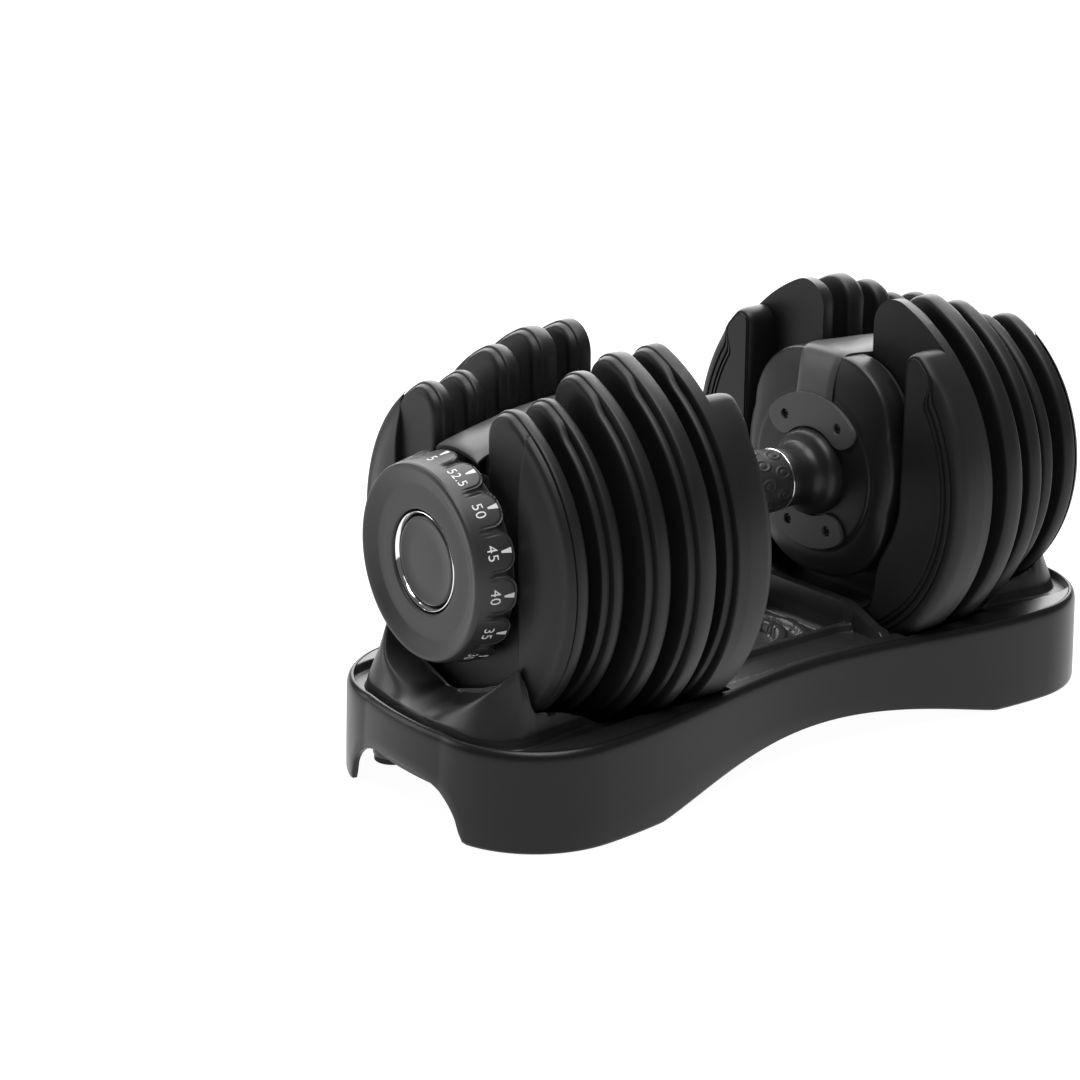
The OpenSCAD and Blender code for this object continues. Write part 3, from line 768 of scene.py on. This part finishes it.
def cradle_height(X, Y):
    ax, ay = np.abs(X), np.abs(Y)
    s = island_inside(ax, ay)
    ground = 51.75 - 4.2 * smooth(-0.8, 1.3, rim_inside(ax, ay))
    ridge = np.interp(ax, [0, 120, 129, 141, 154, 165, 172, 177, 181, 206],
                      [51.5, 51.5, 52.5, 55.5, 60, 66, 74, 84, 91, 91])
    climb = np.interp(ax, [0, 150, 165, 172, 180, 184, 190, 206], [2.75, 2.75, 3.0, 4.0, 5.0, 3.8, 2.9, 2.6])
    flank = 52.6 + np.maximum(s, 0) * (0.25 + climb * smooth(5, 50, ay))
    h = smin(smin(flank, ridge, 4), 89 + 0 * ax, 4)
    # the dial's scoop, opening towards the end
    sr = 67.5 + np.maximum(ax - 180, 0) * 0.19
    scoop = H - np.sqrt(np.maximum(sr ** 2 - ay ** 2, 0))
    h = np.where(ax > 150, smin(h, np.where(ay < sr, scoop, 200), 3.0), h)
    h = ground + (h - ground) * smooth(-1.4, 0.5, s)
    # middle recess, its stepped arc and the rib before plate 5
    rec = smooth(0, 2.5, 54 - ax) * smooth(0, 2.5, 34 - ay)
    h = h - (h - 41.0) * rec
    q = np.hypot(ax * 0.9, ay)
    inner_arc = smooth(0, 1.6, 31 - q) * smooth(0, 1.6, q - 23)
    arc = inner_arc + 0.6 * smooth(0, 1.2, 43 - q) * smooth(0, 1.2, q - 36)
    h = h + 5.5 * arc * rec
    rib = smooth(0, 1.6, 4.6 - np.abs(ax - 57.0))
    h = h + np.maximum(61.5 - 9.5 * smooth(28, 60, ay) - h, 0) * rib * smooth(64, 58, ay)
    R = bed_radius(ax)
    bed = np.maximum(H - np.sqrt(np.maximum(R ** 2 - ay ** 2, 0)), 23.3)
    return h - np.maximum(h - bed, 0) * np.where((ay < R) & (ax < 180), smooth(61.0, 61.9, ax), 0)


def cradle_mesh():
    runs = [np.arange(a, b, step) for a, b, step in
            ((0, 52, 1.5), (52, 63, 0.5), (63, 172, 1.0), (172, 181, 0.3), (181, 200, 0.7), (200, 206.5, 0.35))]
    xs = np.unique(np.concatenate(runs + [[206.9, 207.5, 208.2, 208.8, 209.1]]))
    xs = np.concatenate([-xs[::-1][:-1], xs])
    nv = 172
    inset = 5.35

    def half_w(x):
        ax = abs(x)
        if ax <= WAIST_END:
            return waist_w(ax) - inset
        r = CORNER - inset
        if ax - WAIST_END < r:
            return HALF_W - CORNER + math.sqrt(r * r - (ax - WAIST_END) ** 2)
        return (HALF_W - CORNER) * math.sqrt(max(HALF_L - inset - ax, 0.01) / 2.5)

    W = np.array([half_w(x) for x in xs])
    X = np.repeat(xs[:, None], nv + 1, 1)
    probe = np.linspace(0, 80, 801)
    Y = np.zeros_like(X)
    for i, x in enumerate(np.abs(xs)):
        # columns gather at the island's edge and at the edge of the plates' pocket
        dist = island_inside(x + 0 * probe, probe)
        rim = float(np.interp(0, -dist, probe)) if dist[0] > 0 else W[i] * 0.5
        rim = min(rim, W[i] - 3)
        R = float(bed_radius(x))
        pocket = math.sqrt(max(R ** 2 - (H - 52.5) ** 2, 0)) if 61 < x < 180 else 0.6 * rim
        if W[i] < 45:
            stops = [0, W[i] * 0.4, W[i] * 0.7, W[i] * 0.9, W[i]]
        else:
            stops = sorted([0, min(pocket, W[i] - 2), rim - 0.5, rim + 1.4, W[i]])
        counts = [30, 22, 12, 22]
        half = np.concatenate([np.linspace(stops[q], stops[q + 1], counts[q] + 1)[(q > 0):] for q in range(4)])
        Y[i] = np.concatenate([-half[::-1], half[1:]])
    Z = cradle_height(X, Y)
    verts = [(float(X[i, j]), float(Y[i, j]), float(Z[i, j])) for i in range(len(xs)) for j in range(nv + 1)]
    m = nv + 1
    faces = [(i * m + j, (i + 1) * m + j, (i + 1) * m + j + 1, i * m + j + 1)
             for i in range(len(xs) - 1) for j in range(nv)]
    # underside: the edge loop carried down and closed
    loop = ([(0, j) for j in range(m)] + [(i, m - 1) for i in range(1, len(xs))]
            + [(len(xs) - 1, j) for j in range(m - 2, -1, -1)] + [(i, 0) for i in range(len(xs) - 2, 0, -1)])
    base = len(verts)
    for i, j in loop:
        verts.append((float(X[i, j]), float(Y[i, j]), 22.6))
    L = len(loop)
    for q in range(L):
        i, j = loop[q]
        i2, j2 = loop[(q + 1) % L]
        faces.append((i * m + j, i2 * m + j2, base + (q + 1) % L, base + q))
    faces.append(tuple(base + q for q in range(L)))
    return verts, faces


def under_parts():
    """Keel under the plates and the legs that stand in the feet."""
    parts = []
    prof = fillet([(-150, 42), (150, 42), (150, -42), (-150, -42), (-150, 42)], 6)
    rings = [[(x * s, y * s, z) for x, y in prof[:-1]] for z, s in ((23, 1), (20, 1), (19, 0.99))]
    parts.append(bridge_rings(rings, cap_start=True, cap_end=True))
    for sx in (-1, 1):
        for sy in (-1, 1):
            rings = []
            for z, r in ((23, 11), (12, 11), (4, 10.6), (3, 10.2)):
                rings.append([(sx * 176 + r * math.cos(2 * PI * i / 48),
                               sy * 60 + r * math.sin(2 * PI * i / 48), z) for i in range(48)])
            parts.append(bridge_rings(rings, cap_start=True, cap_end=True))
    return merge(*parts)


add("tray_outer_shell", *shell_mesh(), "tray_shell", "tray", None, ["tray_shell"], angle=42)
add("tray_cradle_deck", *merge(cradle_mesh(), under_parts()), "tray_cradle", "tray", None, ["tray_cradle"], angle=60)

# ---------------------------------------------------------------- stage, light and camera
bpy.ops.mesh.primitive_plane_add(size=12, location=(0, 0, 0))
floor = bpy.context.object
floor.name = "floor"
fm = bpy.data.materials.new("floor_paper")
fm.use_nodes = True
fb = fm.node_tree.nodes["Principled BSDF"]
fb.inputs["Base Color"].default_value = (0.16, 0.16, 0.16, 1)
fb.inputs["Roughness"].default_value = 0.9
fb.inputs["Specular IOR Level"].default_value = 0.1
fb.inputs["Emission Color"].default_value = (1, 1, 1, 1)
fb.inputs["Emission Strength"].default_value = 0.97
floor.data.materials.append(fm)

world = bpy.data.worlds.new("studio")
world.use_nodes = True
world.node_tree.nodes["Background"].inputs["Color"].default_value = (1, 1, 1, 1)
world.node_tree.nodes["Background"].inputs["Strength"].default_value = 0.12
wt = world.node_tree
back = wt.nodes.new("ShaderNodeBackground")
back.inputs["Strength"].default_value = 1.0
path = wt.nodes.new("ShaderNodeLightPath")
mixw = wt.nodes.new("ShaderNodeMixShader")
wt.links.new(path.outputs["Is Camera Ray"], mixw.inputs[0])
wt.links.new(wt.nodes["Background"].outputs[0], mixw.inputs[1])
wt.links.new(back.outputs[0], mixw.inputs[2])
wt.links.new(mixw.outputs[0], wt.nodes["World Output"].inputs["Surface"])
scene.view_settings.view_transform = "Standard"
scene.world = world


def lamp(name, loc, target, size, power, size_y=None):
    d = bpy.data.lights.new(name, "AREA")
    d.shape = "RECTANGLE"
    d.size = size
    d.size_y = size_y or size
    d.energy = power
    o = bpy.data.objects.new(name, d)
    scene.collection.objects.link(o)
    o.location = loc
    v = [t - l for t, l in zip(target, loc)]
    o.rotation_euler = Vector(v).to_track_quat("-Z", "Y").to_euler()
    return o


lamp("left", (-1.35, 1.5, 0.85), (-0.15, 0, 0.12), 1.0, 10)
lamp("back", (1.45, 1.75, 0.92), (0, 0, 0.1), 3.0, 50, 1.2)
lamp("top", (0.7, 0.9, 1.6), (0, 0, 0.1), 2.2, 60, 1.6)
lamp("front", (-0.5, -1.3, 1.9), (0, 0, 0.1), 1.0, 4)
sun = bpy.data.lights.new("overhead", "SUN")
sun.energy = 3.0
sun.angle = math.radians(42)
so = bpy.data.objects.new("overhead", sun)
scene.collection.objects.link(so)
so.rotation_euler = Vector((0.08, 0.2, -1)).to_track_quat("-Z", "Y").to_euler()

cam = bpy.data.cameras.new("camera")
cam.sensor_width = 36
cam.lens = 79.07
cam.clip_end = 30
co = bpy.data.objects.new("camera", cam)
scene.collection.objects.link(co)
co.location = (-0.8008, -0.8841, 0.4894)
co.rotation_euler = (math.radians(90 - 18.19), 0, math.radians(-37.33))
scene.camera = co
